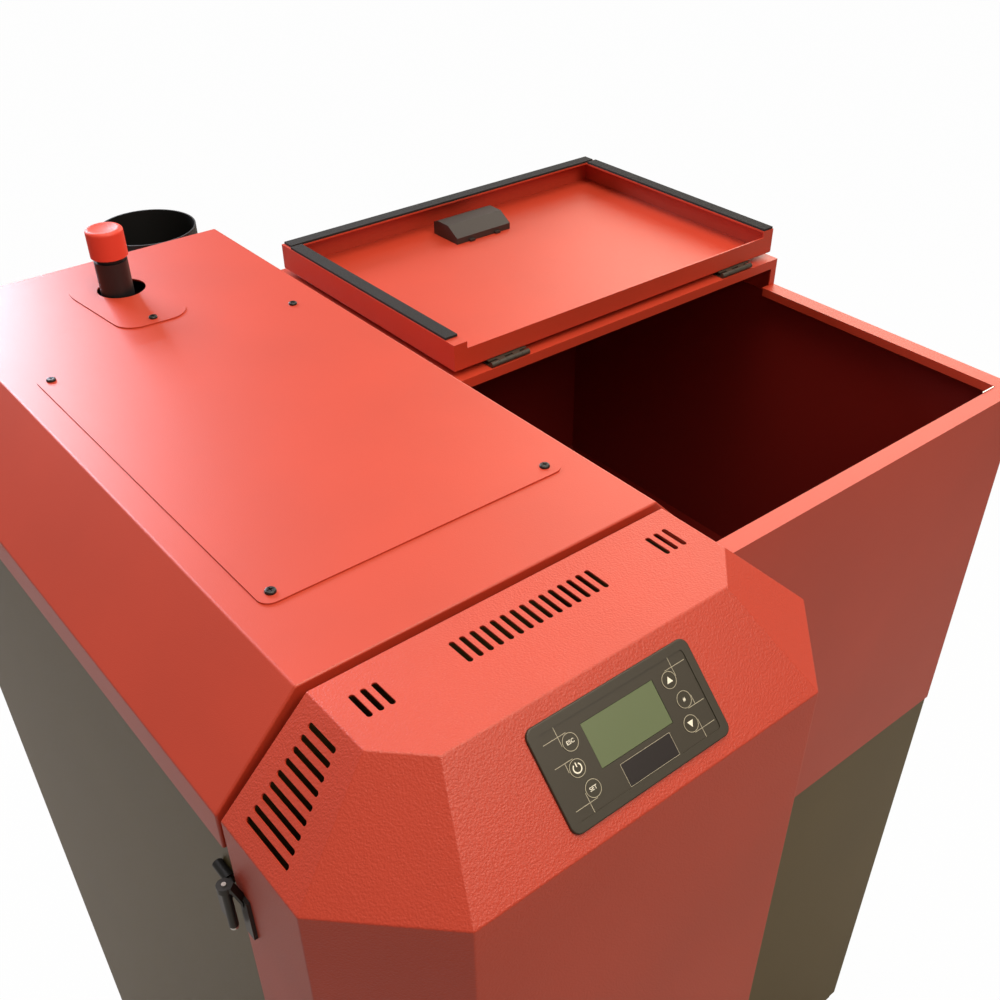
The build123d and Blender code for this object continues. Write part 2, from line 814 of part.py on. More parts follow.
def slanted_plane():
    origin = (centre_x, slant_run - hood_reach, top_z)
    return Plane(origin=origin, x_dir=(1, 0, 0), z_dir=(0, -chamfer_drop, slant_run))


def panel_plane():
    return slanted_plane() * Pos(0, -panel_offset, 0)


def obround(length):
    return Rot(0, 0, 90) * SlotOverall(length, slot_width)


def top_slots():
    cutters = []
    row = [(k - (centre_slots - 1) / 2) * slot_pitch for k in range(centre_slots)]
    side = [side_slot_offset + (k - (side_slots - 1) / 2) * slot_pitch for k in range(side_slots)]
    y = -slot_rear - slot_length / 2
    for dx in row + side + [-s for s in side]:
        cutters.append(Pos(centre_x + dx, y, top_z - 8) * extrude(obround(slot_length), 16))
    return cutters


def chamfer_cutters():
    normal = (-chamfer_drop, 0, chamfer_run)
    plane = Plane(origin=(chamfer_run, 0, top_z), x_dir=(0, 1, 0), z_dir=normal)
    high_edge = top_corner_cut - hood_reach + slant_run
    low_edge = corner_cut - hood_reach
    cutters = []
    for k in range(chamfer_slots):
        s = chamfer_slot_start + k * chamfer_slot_pitch
        front = high_edge + (low_edge - high_edge) * s / chamfer_length + chamfer_slot_margin
        length = -chamfer_slot_rear - front
        slot = extrude(SlotOverall(length, slot_width), 16)
        cutters.append(plane * Pos(-chamfer_slot_rear - length / 2, s, -8) * slot)
    return cutters


def make_front_cover():
    base = foot_height + hood_floor_gap
    outer = hood_block(0, base)
    folds = outer.edges().filter_by(lambda e: e.center().Y < -cover_gap - 1 and e.center().Z > base + 1)
    outer = fillet(folds, hood_fold_radius)
    shell = outer - hood_block(hood_sheet, base + hood_sheet)
    flange = hood_block(hood_sheet / 2, base + hood_sheet / 2) - hood_block(hood_flange, base + hood_flange)
    shell += flange & block(-1, casing_width + 1, -cover_gap - hood_sheet, -cover_gap, base, top_z)
    shell -= top_slots()
    left = chamfer_cutters()
    shell -= left
    shell -= [mirrored(cutter) for cutter in left]
    opening = rounded_plate(panel_width - 2 * bezel_border, panel_height - 2 * bezel_border, 20, 3)
    return shell - panel_plane() * Pos(0, 0, -10) * opening


# Hinges of the front cover
def hinge_levels():
    high = top_z - barrel_drop
    return (high, high - hinge_spacing)


def make_hinge_brackets():
    solids = []
    for top in hinge_levels():
        low = top - barrel_length
        barrel = rod_z(barrel_radius, hinge_axis_x, hinge_axis_y, low, top)
        stub_x = side_inset - stub_radius
        stub = rod_y(stub_radius, stub_x, 0, stub_length, top - 10)
        stub += rod_y(stub_radius - 2, stub_x, -4, 1, top - 10)
        web = block(hinge_axis_x - 3, stub_x, hinge_axis_y, -4 + 2, top - 14, top - 6)
        web += block(hinge_axis_x - 3, hinge_axis_x + 3, hinge_axis_y, -4 + 2, low + 8, top - 6)
        bore = rod_z(hinge_pin_radius + running_clearance, hinge_axis_x, hinge_axis_y, low - 1, top + 1)
        solids.append(barrel + stub + web - bore)
    return group(solids)


def make_hinge_pins():
    pins = []
    for top in hinge_levels():
        low = top - barrel_length
        pin = rod_z(hinge_pin_radius, hinge_axis_x, hinge_axis_y, low, top + arm_thickness + pin_stand)
        pin += rod_z(hinge_pin_radius + 1.5, hinge_axis_x, hinge_axis_y, low - 3, low - seat_gap / 3)
        pins.append(pin)
    return group(pins)


def make_hinge_arms():
    dx = -leaf_thickness / 2 - hinge_axis_x
    dy = leaf_y - hinge_axis_y
    reach = math.hypot(dx, dy)
    angle = math.degrees(math.atan2(dy, dx))
    solids = []
    for top in hinge_levels():
        low = top + seat_gap
        ring = rod_z(ring_radius, hinge_axis_x, hinge_axis_y, low, low + arm_thickness)
        bend = ring_radius + 0.5
        side = [(0, 0), (bend, 0), (reach, -arm_drop), (reach, arm_thickness - arm_drop),
                (bend, arm_thickness), (0, arm_thickness)]
        profile = Plane.XZ * make_face(Polyline(*side, close=True))
        strap = extrude(profile, 3.5, both=True)
        arm = Pos(hinge_axis_x, hinge_axis_y, low) * Rot(0, 0, angle) * strap
        leaf = block(-leaf_thickness, 0, leaf_y - leaf_width / 2, leaf_y + leaf_width / 2,
                     low - arm_drop - barrel_length + 6, low + arm_thickness - arm_drop + 1)
        keep = block(-40, 0, -60, 20, low - 100, low + 20)
        bore = rod_z(hinge_pin_radius + running_clearance, hinge_axis_x, hinge_axis_y, low - 1, low + 20)
        solids.append(((ring + arm + leaf) & keep) - bore)
    return group(solids)


def make_magnets():
    solids = []
    x1 = casing_width - side_inset
    for z in [top_z - drop for drop in magnet_drops]:
        solids.append(block(x1 - magnet_size, x1, -cover_gap + seat_gap, -seat_gap, z - 22, z + 22))
    return group(solids)


# Control panel
def make_display_housing():
    plate = rounded_plate(panel_width, panel_height, bezel_rise, panel_corner)
    rim = plate.edges().group_by(Axis.Z)[-1]
    plate = fillet(rim, bezel_rise * 0.45)
    inner_w = panel_width - 2 * bezel_border
    inner_h = panel_height - 2 * bezel_border
    sink = rounded_plate(inner_w, inner_h, membrane_drop + 1, 3)
    plate -= Pos(0, 0, bezel_rise - membrane_drop) * sink
    case_w = inner_w - 2 * seat_gap
    case_h = inner_h - 2 * seat_gap
    case = Pos(0, 0, -housing_depth) * rounded_plate(case_w, case_h, housing_depth + 0.2, 3)
    case -= Pos(0, 0, -housing_depth / 2 - 1) * Box(case_w - 2 * housing_wall, case_h - 2 * housing_wall,
                                                    housing_depth + 2)
    floor_z = bezel_rise - membrane_drop - face_thickness
    floor = Pos(0, 0, floor_z) * rounded_plate(case_w, case_h, face_thickness, 3)
    body = plate + case + floor
    body -= Pos(0, window_shift, 0) * Box(window_width, window_height, 12)
    for x, y in key_columns:
        body -= Pos(x, y, 0) * Cylinder(key_radius + key_clearance, 14)
    for x in (-1, 1):
        for y in (-1, 1):
            post = Pos(x * (case_w / 2 - 5), y * (case_h / 2 - 5), -board_depth() / 2)
            body += post * Box(7, 7, board_depth())
    return panel_plane() * body


def board_depth():
    return key_height - bezel_rise + membrane_drop + key_travel + board_gap


def make_display_window():
    gap = seat_gap
    top = bezel_rise - membrane_drop - gap
    pane = Box(window_width - 2 * gap, window_height - 2 * gap, window_thickness)
    glass = Pos(0, window_shift, top - window_thickness / 2) * pane
    return panel_plane() * glass


def make_control_board():
    width = panel_width - 2 * bezel_border - 2 * housing_wall - 3
    height = panel_height - 2 * bezel_border - 2 * housing_wall - 3
    board = Pos(0, 0, -board_depth() - board_thickness / 2) * Box(width, height, board_thickness)
    front = -board_depth()
    for x, y in key_columns:
        board += Pos(x, y, front + board_gap / 4) * Box(6, 6, board_gap / 2)
    top = bezel_rise - membrane_drop - window_thickness - 2 * seat_gap
    depth = top - front
    board += Pos(0, window_shift, front + depth / 2) * Box(window_width + 8, window_height - 3, depth - 1)
    board += Pos(-30, -18, -board_depth() - board_thickness - 4) * Box(30, 12, 8.2)
    board += Pos(30, -10, -board_depth() - board_thickness - 2) * Box(20, 20, 4.2)
    return panel_plane() * board


def make_key(x, y):
    top = bezel_rise - membrane_drop + 0.3
    cap = Pos(x, y, top - key_height / 2) * Cylinder(key_radius, key_height)
    cap = fillet(cap.edges().group_by(Axis.Z)[-1], 0.25)
    return panel_plane() * cap


# Relief valve and flue
def make_relief_valve():
    low = jacket_top + 14
    cap_low = top_z + valve_body_rise
    body = rod_z(valve_body_radius, valve_x, valve_y, low + 26, cap_low - 5)
    body += rod_z(valve_body_radius - 3, valve_x, valve_y, cap_low - 6, cap_low)
    hexagon = Pos(valve_x, valve_y, low) * extrude(RegularPolygon(valve_body_radius, 6), 26)
    body += hexagon
    spindle = rod_z(6, valve_x, valve_y, cap_low - 1, cap_low + valve_cap_height * 0.6)
    outlet = rod_y(12, valve_x, valve_y, valve_y + 46, low + 20)
    outlet -= rod_y(8, valve_x, valve_y + 26, valve_y + 47, low + 20)
    return body + spindle + outlet


def make_relief_cap():
    low = top_z + valve_body_rise + valve_cap_clearance
    cap = rod_z(valve_cap_radius, valve_x, valve_y, low, low + valve_cap_height)
    cap = fillet(cap.edges().group_by(Axis.Z)[-1], 4)
    cap -= rod_z(6 + valve_cap_clearance / 4, valve_x, valve_y, low - 1, low + valve_cap_height * 0.65)
    dish = Pos(valve_x, valve_y, low + valve_cap_height + 68) * Sphere(70)
    return cap - dish


def make_flue_tee():
    top = top_z - flue_top_drop
    low = top - flue_tee_length
    branch_z = top_z - flue_branch_drop
    outer = rod_z(flue_radius, flue_x, flue_y, low, top)
    outer += rod_y(flue_radius - 2, flue_x, jacket_back + seat_gap, flue_y, branch_z)
    inner = rod_z(flue_radius - flue_wall, flue_x, flue_y, low + flue_wall, top + 1)
    inner += rod_y(flue_radius - 2 - flue_wall, flue_x, jacket_back - 1, flue_y, branch_z)
    return outer - inner


def make_drain_valve():
    y0 = jacket_back + seat_gap
    y1 = y0 + drain_length
    body = rod_y(drain_radius, centre_x, y0, y1, drain_height)
    nut = extrude(RegularPolygon(drain_radius + 2, 6), 14, both=True)
    body += Pos(centre_x, y1 + 10, drain_height) * Rot(90, 0, 0) * nut
    body -= rod_y(7, centre_x, y0 + 40, y1 + 30, drain_height)
    return body + rod_z(9, centre_x, y1 + 4, drain_height, drain_height + 2 * drain_radius)


def inlet_place():
    return (centre_x + 130, 330.0)


def make_power_inlet():
    x, z = inlet_place()
    y1 = casing_depth - cover_sheet - seat_gap
    body = block(x - 13.5, x + 13.5, y1 - 22, y1, z - 9.5, z + 9.5)
    body += block(x - 25, x + 25, y1, y1 + 3, z - 14, z + 14)
    body -= block(x - 12, x + 12, y1 - 16, y1 + 4, z - 8, z + 8)
    for dx in (-6.5, 0, 6.5):
        body += block(x + dx - 1, x + dx + 1, y1 - 17, y1 - 2, z - 2 + (dx == 0) * 3, z + 2 + (dx == 0) * 3)
    return body


# Hopper casing, bin and lid
def hopper_shell(inset, z0, z1):
    return block(hopper_left + inset, hopper_right - inset, hopper_front + inset,
                 casing_depth - inset, z0, z1)


def make_hopper_upper():
    s = cover_sheet
    outer = hopper_shell(0, seam_z, rim_z)
    outer += block(hopper_left, hopper_right, bar_front, casing_depth, rim_z - 1, bar_z)
    cavity = hopper_shell(s, seam_z - 1, rim_z - s)
    cavity += block(hopper_left + s, hopper_right - s, bar_front + s, casing_depth - s, seam_z, bar_z - s)
    shell = outer - cavity
    mouth = block(hopper_left + rim_width, hopper_right - rim_width, hopper_front + rim_width,
                  bar_front + s + 1, rim_z - s - 1, rim_z + 1)
    lintel = block(hopper_left + post_width, hopper_right - post_width, bar_front - 1, bar_front + s + 1,
                   rim_z, bar_z - lintel_height)
    shell -= mouth
    shell -= lintel
    turned = block(hopper_left + rim_width - s, hopper_right - rim_width + s, hopper_front + rim_width - s,
                   bar_front, rim_z - rim_return, rim_z - s / 2)
    turned -= block(hopper_left + rim_width, hopper_right - rim_width, hopper_front + rim_width,
                    bar_front + 1, rim_z - rim_return - 1, rim_z)
    shell += turned
    port = burner_port(burner_radius + port_clearance, hopper_left - 1, hopper_left + 10)
    return shell - port


def make_hopper_lower():
    low = foot_height + panel_floor_gap
    outer = hopper_shell(lower_inset, low, seam_z + 20)
    joggle = hopper_shell(cover_sheet + seat_gap, seam_z - 1, seam_z + 31)
    outer -= hopper_shell(0, seam_z, seam_z + 30) - joggle
    cavity = hopper_shell(lower_inset + lower_sheet, low - 1, seam_z + 31)
    shell = outer - cavity
    port = burner_port(burner_radius + port_clearance, hopper_left, hopper_left + 20)
    slots = []
    for k in range(vent_count):
        z = foot_height + vent_start + k * vent_pitch
        slots.append(block(hopper_right - 20, hopper_right + 1, casing_depth - 2 * vent_length,
                           casing_depth - vent_length, z, z + slot_width))
    return shell - port - slots


def bin_section(inset, z, x0, x1, y0, y1):
    face = Rectangle(x1 - x0 - 2 * inset, y1 - y0 - 2 * inset)
    return Pos((x0 + x1) / 2, (y0 + y1) / 2, z) * face


def bin_solid(inset, top):
    edge = cover_sheet + bin_gap
    x0 = hopper_left + edge
    x1 = hopper_right - edge
    y0 = hopper_front + edge
    y1 = casing_depth - edge
    knee = foot_height + bin_knee_height
    mouth = foot_height + bin_mouth_height
    upper = block(x0 + inset, x1 - inset, y0 + inset, y1 - inset, knee, top)
    m0 = hopper_centre - bin_mouth_length / 2
    m1 = hopper_centre + bin_mouth_length / 2
    n0 = feed_y - bin_mouth_width / 2
    n1 = feed_y + bin_mouth_width / 2
    funnel = loft([bin_section(inset, knee, x0, x1, y0, y1), bin_section(inset, mouth, m0, m1, n0, n1)])
    neck = block(m0 + inset, m1 - inset, n0 + inset, n1 - inset, auger_z() + 20, mouth + 0.5)
    return upper + funnel + neck


def auger_z():
    return foot_height + auger_height


def make_hopper_bin():
    top = rim_z - rim_return - 2
    outer = bin_solid(0, top)
    shell = outer - bin_solid(bin_wall, top + 1)
    m = bin_mouth_length / 2 - bin_wall
    n = bin_mouth_width / 2 - bin_wall
    shell -= block(hopper_centre - m, hopper_centre + m, feed_y - n, feed_y + n, auger_z(), auger_z() + 60)
    return shell - rod_x(tube_inner_radius + auger_tube_wall + seat_gap, hopper_left, hopper_right,
                         feed_y, auger_z())


def lid_box():
    x0 = hopper_left + lid_inset
    x1 = hopper_right - lid_inset
    axis_y = bar_front + lid_hinge_behind
    near_closed = bar_front - lid_back_gap
    y0 = 2 * axis_y - near_closed
    y1 = 2 * axis_y - hopper_front - lid_inset
    z0 = bar_z + 2 * knuckle_radius
    z1 = z0 + bar_rise - seal_thickness - seat_gap
    return x0, x1, y0, y1, z0, z1


def make_hopper_lid():
    x0, x1, y0, y1, z0, z1 = lid_box()
    s = lid_sheet
    tray = block(x0, x1, y0, y1, z0, z1)
    tray = fillet(tray.edges().group_by(Axis.Z)[0], 2.5)
    tray -= block(x0 + s, x1 - s, y0 + s, y1 - s, z0 + s, z1 - s)
    tray -= block(x0 + lid_lip, x1 - lid_lip, y0 - 1, y1 - lid_lip, z1 - lid_near_drop, z1 + 1)
    tray -= block(x0 + lid_lip, x1 - lid_lip, y0 + s, y1 - lid_lip, z0 + s, z1 + 1)
    hx, hy = handle_centre()
    return tray - block(hx - handle_length / 2, hx + handle_length / 2, hy - handle_width / 2,
                        hy + handle_width / 2, z0 - 1, z0 + s + 1)


def handle_centre():
    x0, x1, y0, y1, z0, z1 = lid_box()
    return ((x0 + x1) / 2, y1 - handle_from_edge)


def make_lid_seals():
    x0, x1, y0, y1, z0, z1 = lid_box()
    margin = (lid_lip - seal_width) / 2
    top = z1 + seal_thickness
    left = block(x0 + margin, x0 + margin + seal_width, y0 + left_seal_start, y1 - lid_lip, z1, top)
    right = block(x1 - margin - seal_width, x1 - margin, y0 + right_seal_start, y1 - lid_lip, z1, top)
    far = block(x0 + margin + seal_corner_gap, x1 - margin - seal_corner_gap,
                y1 - margin - seal_width, y1 - margin, z1, top)
    gap = seal_corner_gap
    left = left - block(x0, x0 + lid_lip, y1 - lid_lip - gap, y1, z1, top + 1)
    right = right - block(x1 - lid_lip, x1, y1 - lid_lip - gap, y1, z1, top + 1)
    return group([left, right, far])


def make_lid_handle():
    x0, x1, y0, y1, z0, z1 = lid_box()
    hx, hy = handle_centre()
    length = handle_length - 2 * seat_gap
    width = handle_width - 2 * seat_gap
    side = [(-width / 2, 0), (width / 2, 0), (width / 2, handle_depth - 4), (width / 2 - 10, handle_depth),
            (-width / 2 + 22, handle_depth), (-width / 2, handle_depth * 0.45)]
    cup = handle_prism(side, length)
    w = handle_wall
    hollow = [(-width / 2 + w, -5), (width / 2 - w, -5), (width / 2 - w, handle_depth - 5),
              (width / 2 - 11, handle_depth - w), (-width / 2 + 23, handle_depth - w),
              (-width / 2 + w, handle_depth * 0.45 - 1)]
    flange = Pos(0, 0, -0.75) * Box(handle_length + 2 * handle_flange, handle_width + 2 * handle_flange, 1.5)
    body = cup + flange - handle_prism(hollow, length - 2 * w)
    for x in (-0.24, 0.24):
        body += Pos(x * length, -width / 2 - 1.5, lid_sheet + 2) * Box(9, 6, 3)
    return Pos(hx, hy, z0) * body


def handle_prism(points, length):
    face = Plane.YZ * make_face(Polyline(*points, close=True))
    return extrude(face, length / 2, both=True)


def hinge_centres():
    return (hopper_left + lid_hinge_inset, hopper_right - lid_hinge_inset)


def knuckles(centre, picked):
    step = lid_hinge_length / knuckle_count
    start = centre - lid_hinge_length / 2
    return [(start + k * step + knuckle_gap / 2, start + (k + 1) * step - knuckle_gap / 2)
            for k in range(knuckle_count) if k % 2 == picked]


def lid_axis():
    return (bar_front + lid_hinge_behind, bar_z + knuckle_radius)


def make_lid_hinge_plates():
    y, z = lid_axis()
    solids = []
    for centre in hinge_centres():
        half = lid_hinge_length / 2
        plate = block(centre - half, centre + half, y + knuckle_radius + 1, y + leaf_reach,
                      bar_z, bar_z + leaf_sheet)
        for a, b in knuckles(centre, 0):
            plate += rod_x(knuckle_radius, a, b, y, z)
            plate += block(a, b, y, y + knuckle_radius + 2, bar_z, bar_z + leaf_sheet)
        plate += rod_x(lid_pin_radius, centre - half, centre + half, y, z)
        solids.append(plate)
    return group(solids)


def make_lid_leaves():
    y, z = lid_axis()
    x0, x1, y0, y1, z0, z1 = lid_box()
    solids = []
    for centre in hinge_centres():
        half = lid_hinge_length / 2
        plate = block(centre - half, centre + half, y + knuckle_radius + 1, y + leaf_reach,
                      z0 - leaf_sheet, z0)
        for a, b in knuckles(centre, 1):
            plate += rod_x(knuckle_radius, a, b, y, z)
            plate += block(a, b, y, y + knuckle_radius + 2, z0 - leaf_sheet, z0 - seat_gap / 2)
        plate -= rod_x(lid_pin_radius + running_clearance, centre - half - 1, centre + half + 1, y, z)
        solids.append(plate)
    return group(solids + lid_rivets())


def lid_rivets():
    x0, x1, y0, y1, z0, z1 = lid_box()
    solids = []
    for centre in hinge_centres():
        for dx in (-16, 16):
            y = y0 + lid_sheet + 9
            dome = Pos(centre + dx, y, z0 + lid_sheet) * Cylinder(rivet_radius, 2 * rivet_height)
            keep = block(centre + dx - 9, centre + dx + 9, y - 9, y + 9, z0 + lid_sheet, z0 + 9)
            solids.append(fillet((dome & keep).edges().group_by(Axis.Z)[-1], 0.9))
    return solids


def make_lid_switch():
    x1 = hopper_right - rim_width - 3
    y0 = hopper_front + rim_width + 0.2
    z1 = rim_z - rim_return / 2
    strip = block(x1 - 24, x1, y0, y0 + 1.5, z1 - 26, rim_z + 1)
    return strip + block(x1 - 22, x1 - 4, y0 + 1, y0 + 10, z1 - 24, z1 - 8)


# Pellet feed: tube, screw, gearmotor and chute
def auger_ends():
    return auger_left, auger_left + auger_length


def make_auger_tube():
    x0, x1 = auger_ends()
    z = auger_z()
    outer_r = tube_inner_radius + auger_tube_wall
    tube = rod_x(outer_r, x0, x1, feed_y, z) - rod_x(tube_inner_radius, x0 - 1, x1 + 1, feed_y, z)
    m = bin_mouth_length / 2 - 2 * bin_wall
    n = tube_inner_radius - 8
    tube -= block(hopper_centre - m, hopper_centre + m, feed_y - n, feed_y + n, z, z + outer_r + 1)
    c = chute_size / 2 - 3
    tube -= block(x0 + 6, x0 + 6 + 2 * c, feed_y - n, feed_y + n, z - outer_r - 1, z)
    for a, b in ((x0 - 6, x0), (x1, x1 + 6)):
        plate = rod_x(outer_r + 10, a, b, feed_y, z)
        plate -= rod_x(auger_shaft_radius + running_clearance, a - 1, b + 1, feed_y, z)
        tube += plate
    return tube + drop_chute()


def make_auger_screw():
    x0, x1 = auger_ends()
    z = auger_z()
    shaft = rod_x(auger_shaft_radius, x0 - 12, x1 + 34, feed_y, z)
    length = auger_length - 16
    mid = (auger_radius + auger_shaft_radius - 1) / 2
    depth = auger_radius - auger_shaft_radius + 1
    path = Helix(pitch=auger_pitch, height=length - auger_pitch / 2, radius=mid)
    section = Plane(origin=path @ 0, z_dir=path % 0, x_dir=(1, 0, 0)) * Rectangle(depth, flight_thickness)
    flight = sweep(section, path=path, is_frenet=True)
    return shaft + Pos(x0 + 20, feed_y, z) * Rot(0, 90, 0) * flight


def make_gearmotor():
    x0 = auger_ends()[1] + 6 + seat_gap
    z = auger_z()
    case = block(x0, x0 + gear_case_depth, feed_y - 40, feed_y + 62, z - 36, z + 36)
    case = fillet(case.edges().filter_by(Axis.X), 8)
    motor = rod_x(gear_motor_radius, x0 + 4, x0 + 4 + gear_motor_length, feed_y + 30, z)
    case += motor
    return case - rod_x(auger_shaft_radius + running_clearance, x0 - 1, x0 + 30, feed_y, z)


def drop_chute():
    x0 = auger_ends()[0] + 6 - 3
    x1 = x0 + chute_size
    z1 = auger_z() - 10
    z0 = burner_height + burner_radius * 0.8
    half = chute_size / 2
    chute = block(x0, x1, feed_y - half, feed_y + half, z0, z1)
    chute -= block(x0 + 2, x1 - 2, feed_y - half + 2, feed_y + half - 2, z0 - 1, z1 + 1)
    chute -= rod_x(tube_inner_radius + 1, x0 - 1, x1 + 1, feed_y, auger_z())
    return chute - rod_x(burner_radius + seat_gap, x0 - 1, x1 + 1, feed_y, burner_height)


def make_burner():
    x0 = fire_right - firebox_plate - burner_reach
    x1 = x0 + burner_length + 40
    tube = rod_x(burner_radius, x0, x1, feed_y, burner_height)
    tube -= rod_x(burner_radius - burner_wall, x0 - 1, x1 - 4, feed_y, burner_height)
    c0 = auger_ends()[0] + 6 + 4
    tube -= block(c0, c0 + chute_size - 14, feed_y - 28, feed_y + 28, burner_height, burner_height + 90)
    cup = block(x0 + 4, x0 + 54, feed_y - 49, feed_y + 49, burner_height - 30, burner_height - 26)
    tube += cup
    flange_x = jacket_right
    ring = rod_x(burner_radius + burner_flange, flange_x + seat_gap, flange_x + 6, feed_y, burner_height)
    tube += ring - rod_x(burner_radius - 1, flange_x, flange_x + 7, feed_y, burner_height)
    hole = rod_x(20, x1 - 5, x1 + 1, feed_y, burner_height)
    return tube - hole


def fan_start():
    return fire_right - firebox_plate - burner_reach + burner_length + 40 + seat_gap


def make_fan_housing():
    x0 = fan_start()
    scroll = rod_x(fan_radius, x0, x0 + fan_depth, feed_y, burner_height)
    scroll += block(x0, x0 + fan_depth, feed_y, feed_y + fan_radius + 30, burner_height - fan_radius,
                    burner_height - fan_radius + 50)
    scroll -= rod_x(fan_radius - 3, x0 + 3, x0 + fan_depth - 3, feed_y, burner_height)
    scroll -= rod_x(20, x0 - 1, x0 + 4, feed_y, burner_height)
    scroll -= rod_x(6, x0 + fan_depth - 4, x0 + fan_depth + 1, feed_y, burner_height)
    return scroll


def make_fan_impeller():
    x0 = fan_start() + 8
    x1 = fan_start() + fan_depth - 8
    hub = rod_x(impeller_radius, x1 - 3, x1, feed_y, burner_height)
    hub += rod_x(12, x0 + 14, x1, feed_y, burner_height)
    ring = rod_x(impeller_radius, x0, x0 + 3, feed_y, burner_height)
    hub += ring - rod_x(impeller_radius - 14, x0 - 1, x0 + 4, feed_y, burner_height)
    for k in range(impeller_blades):
        blade = Pos(0, 0, impeller_radius - 8) * Rot(0, 0, 20) * Box(x1 - x0, 1.6, 13)
        hub += Pos((x0 + x1) / 2, feed_y, burner_height) * Rot(k * 360 / impeller_blades, 0, 0) * blade
    return hub + rod_x(4, x1 - 1, fan_start() + fan_depth + 24, feed_y, burner_height)


def make_fan_motor():
    x0 = fan_start() + fan_depth + seat_gap
    motor = rod_x(motor_radius, x0, x0 + motor_length, feed_y, burner_height)
    motor = fillet(motor.edges().group_by(Axis.X)[-1], 6)
    for angle in range(0, 360, 30):
        fin = Pos(x0 + motor_length / 2, feed_y, burner_height) * Rot(angle, 0, 0)
        motor += fin * Pos(0, 0, motor_radius) * Box(motor_length - 20, 3, 8)
    return motor - rod_x(4 + running_clearance, x0 - 1, x0 + 30, feed_y, burner_height)


doors = {
    "loading_door": (loading_opening_low, loading_opening_height),
    "ash_door": (ash_opening_low, ash_opening_height),
}
key_names = ("key_esc", "key_power", "key_set", "key_up", "key_menu", "key_down")

nodes = {
    "base_rails": make_base_rails(),
    "levelling_feet": make_feet(),
    "left_side_panel": make_side_panel(),
    "right_side_panel": make_right_panel(),
    "rear_panel": make_rear_panel(),
    "front_frame": make_front_frame(),
    "top_cover": make_top_cover(),
    "service_plate": make_service_plate(),
    "valve_plate": make_valve_plate(),
    "screws_and_nuts": make_screws_and_nuts(),
    "water_jacket": make_water_jacket(),
    "firebox": make_firebox(),
    "tube_bundle": make_tube_bundle(),
    "turbulators": make_turbulators(),
    "cleaning_hatch": make_cleaning_hatch(),
    "insulation_slabs": make_insulation(),
    "fire_grate": make_fire_grate(),
    "ash_pan": make_ash_pan(),
    "door_hinge_brackets": make_door_hardware(),
    "front_cover": make_front_cover(),
    "cover_hinge_brackets": make_hinge_brackets(),
    "cover_hinge_pins": make_hinge_pins(),
    "cover_hinge_arms": make_hinge_arms(),
    "magnet_catches": make_magnets(),
    "display_housing": make_display_housing(),
    "display_window": make_display_window(),
    "control_board": make_control_board(),
    "relief_valve_body": make_relief_valve(),
    "relief_valve_cap": make_relief_cap(),
    "flue_tee": make_flue_tee(),
    "drain_valve": make_drain_valve(),
    "power_inlet": make_power_inlet(),
    "hopper_upper_casing": make_hopper_upper(),
    "hopper_lower_casing": make_hopper_lower(),
    "hopper_bin": make_hopper_bin(),
    "hopper_lid": make_hopper_lid(),
    "lid_seal_strips": make_lid_seals(),
    "lid_handle": make_lid_handle(),
    "lid_hinge_plates": make_lid_hinge_plates(),
    "lid_hinge_leaves": make_lid_leaves(),
    "lid_switch": make_lid_switch(),
    "auger_tube": make_auger_tube(),
    "auger_screw": make_auger_screw(),
    "gearmotor": make_gearmotor(),
    "pellet_burner": make_burner(),
    "fan_housing": make_fan_housing(),
    "fan_impeller": make_fan_impeller(),
    "fan_motor": make_fan_motor(),
}
for door_name, (low, height) in doors.items():
    nodes[door_name] = make_door(low, height)
    nodes[door_name + "_seal"] = make_rope_seal(low, height)
    nodes[door_name + "_latch"] = make_latch(low, height)
for key_name, place in zip(key_names, key_columns):
    nodes[key_name] = make_key(*place)

# The finished part stands on the floor with its box centred over the origin
boxes = [shape.bounding_box() for shape in nodes.values()]
mid_x = (min(b.min.X for b in boxes) + max(b.max.X for b in boxes)) / 2
mid_y = (min(b.min.Y for b in boxes) + max(b.max.Y for b in boxes)) / 2
base_z = min(b.min.Z for b in boxes)
shift = Location((-mid_x, -mid_y, -base_z))
os.makedirs("parts", exist_ok=True)
for name, shape in nodes.items():
    export_step(shape.moved(shift), "parts/" + name + ".step")
print("nodes", len(nodes), "shift", round(-mid_x, 3), round(-mid_y, 3), round(-base_z, 3))
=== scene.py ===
import math
import bmesh
import bpy
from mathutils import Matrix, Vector


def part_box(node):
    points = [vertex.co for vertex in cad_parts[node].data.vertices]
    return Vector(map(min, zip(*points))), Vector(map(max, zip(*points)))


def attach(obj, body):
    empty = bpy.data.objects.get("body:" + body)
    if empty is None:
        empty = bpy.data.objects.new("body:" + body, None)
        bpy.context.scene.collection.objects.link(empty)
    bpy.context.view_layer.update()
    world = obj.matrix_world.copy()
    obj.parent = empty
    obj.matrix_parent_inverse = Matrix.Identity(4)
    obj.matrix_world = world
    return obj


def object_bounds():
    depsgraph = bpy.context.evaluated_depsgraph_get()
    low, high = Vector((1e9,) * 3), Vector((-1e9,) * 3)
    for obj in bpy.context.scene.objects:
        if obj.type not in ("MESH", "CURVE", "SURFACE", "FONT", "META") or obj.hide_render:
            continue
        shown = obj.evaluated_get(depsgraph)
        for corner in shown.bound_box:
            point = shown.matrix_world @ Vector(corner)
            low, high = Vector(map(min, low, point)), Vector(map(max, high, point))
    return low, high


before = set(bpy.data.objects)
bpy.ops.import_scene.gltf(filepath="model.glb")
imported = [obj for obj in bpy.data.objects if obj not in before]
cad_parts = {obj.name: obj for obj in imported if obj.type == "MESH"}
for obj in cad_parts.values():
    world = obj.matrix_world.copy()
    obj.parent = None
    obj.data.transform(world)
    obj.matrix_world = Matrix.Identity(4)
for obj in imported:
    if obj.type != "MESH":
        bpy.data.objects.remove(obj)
cad_low, cad_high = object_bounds()

MM = 0.001

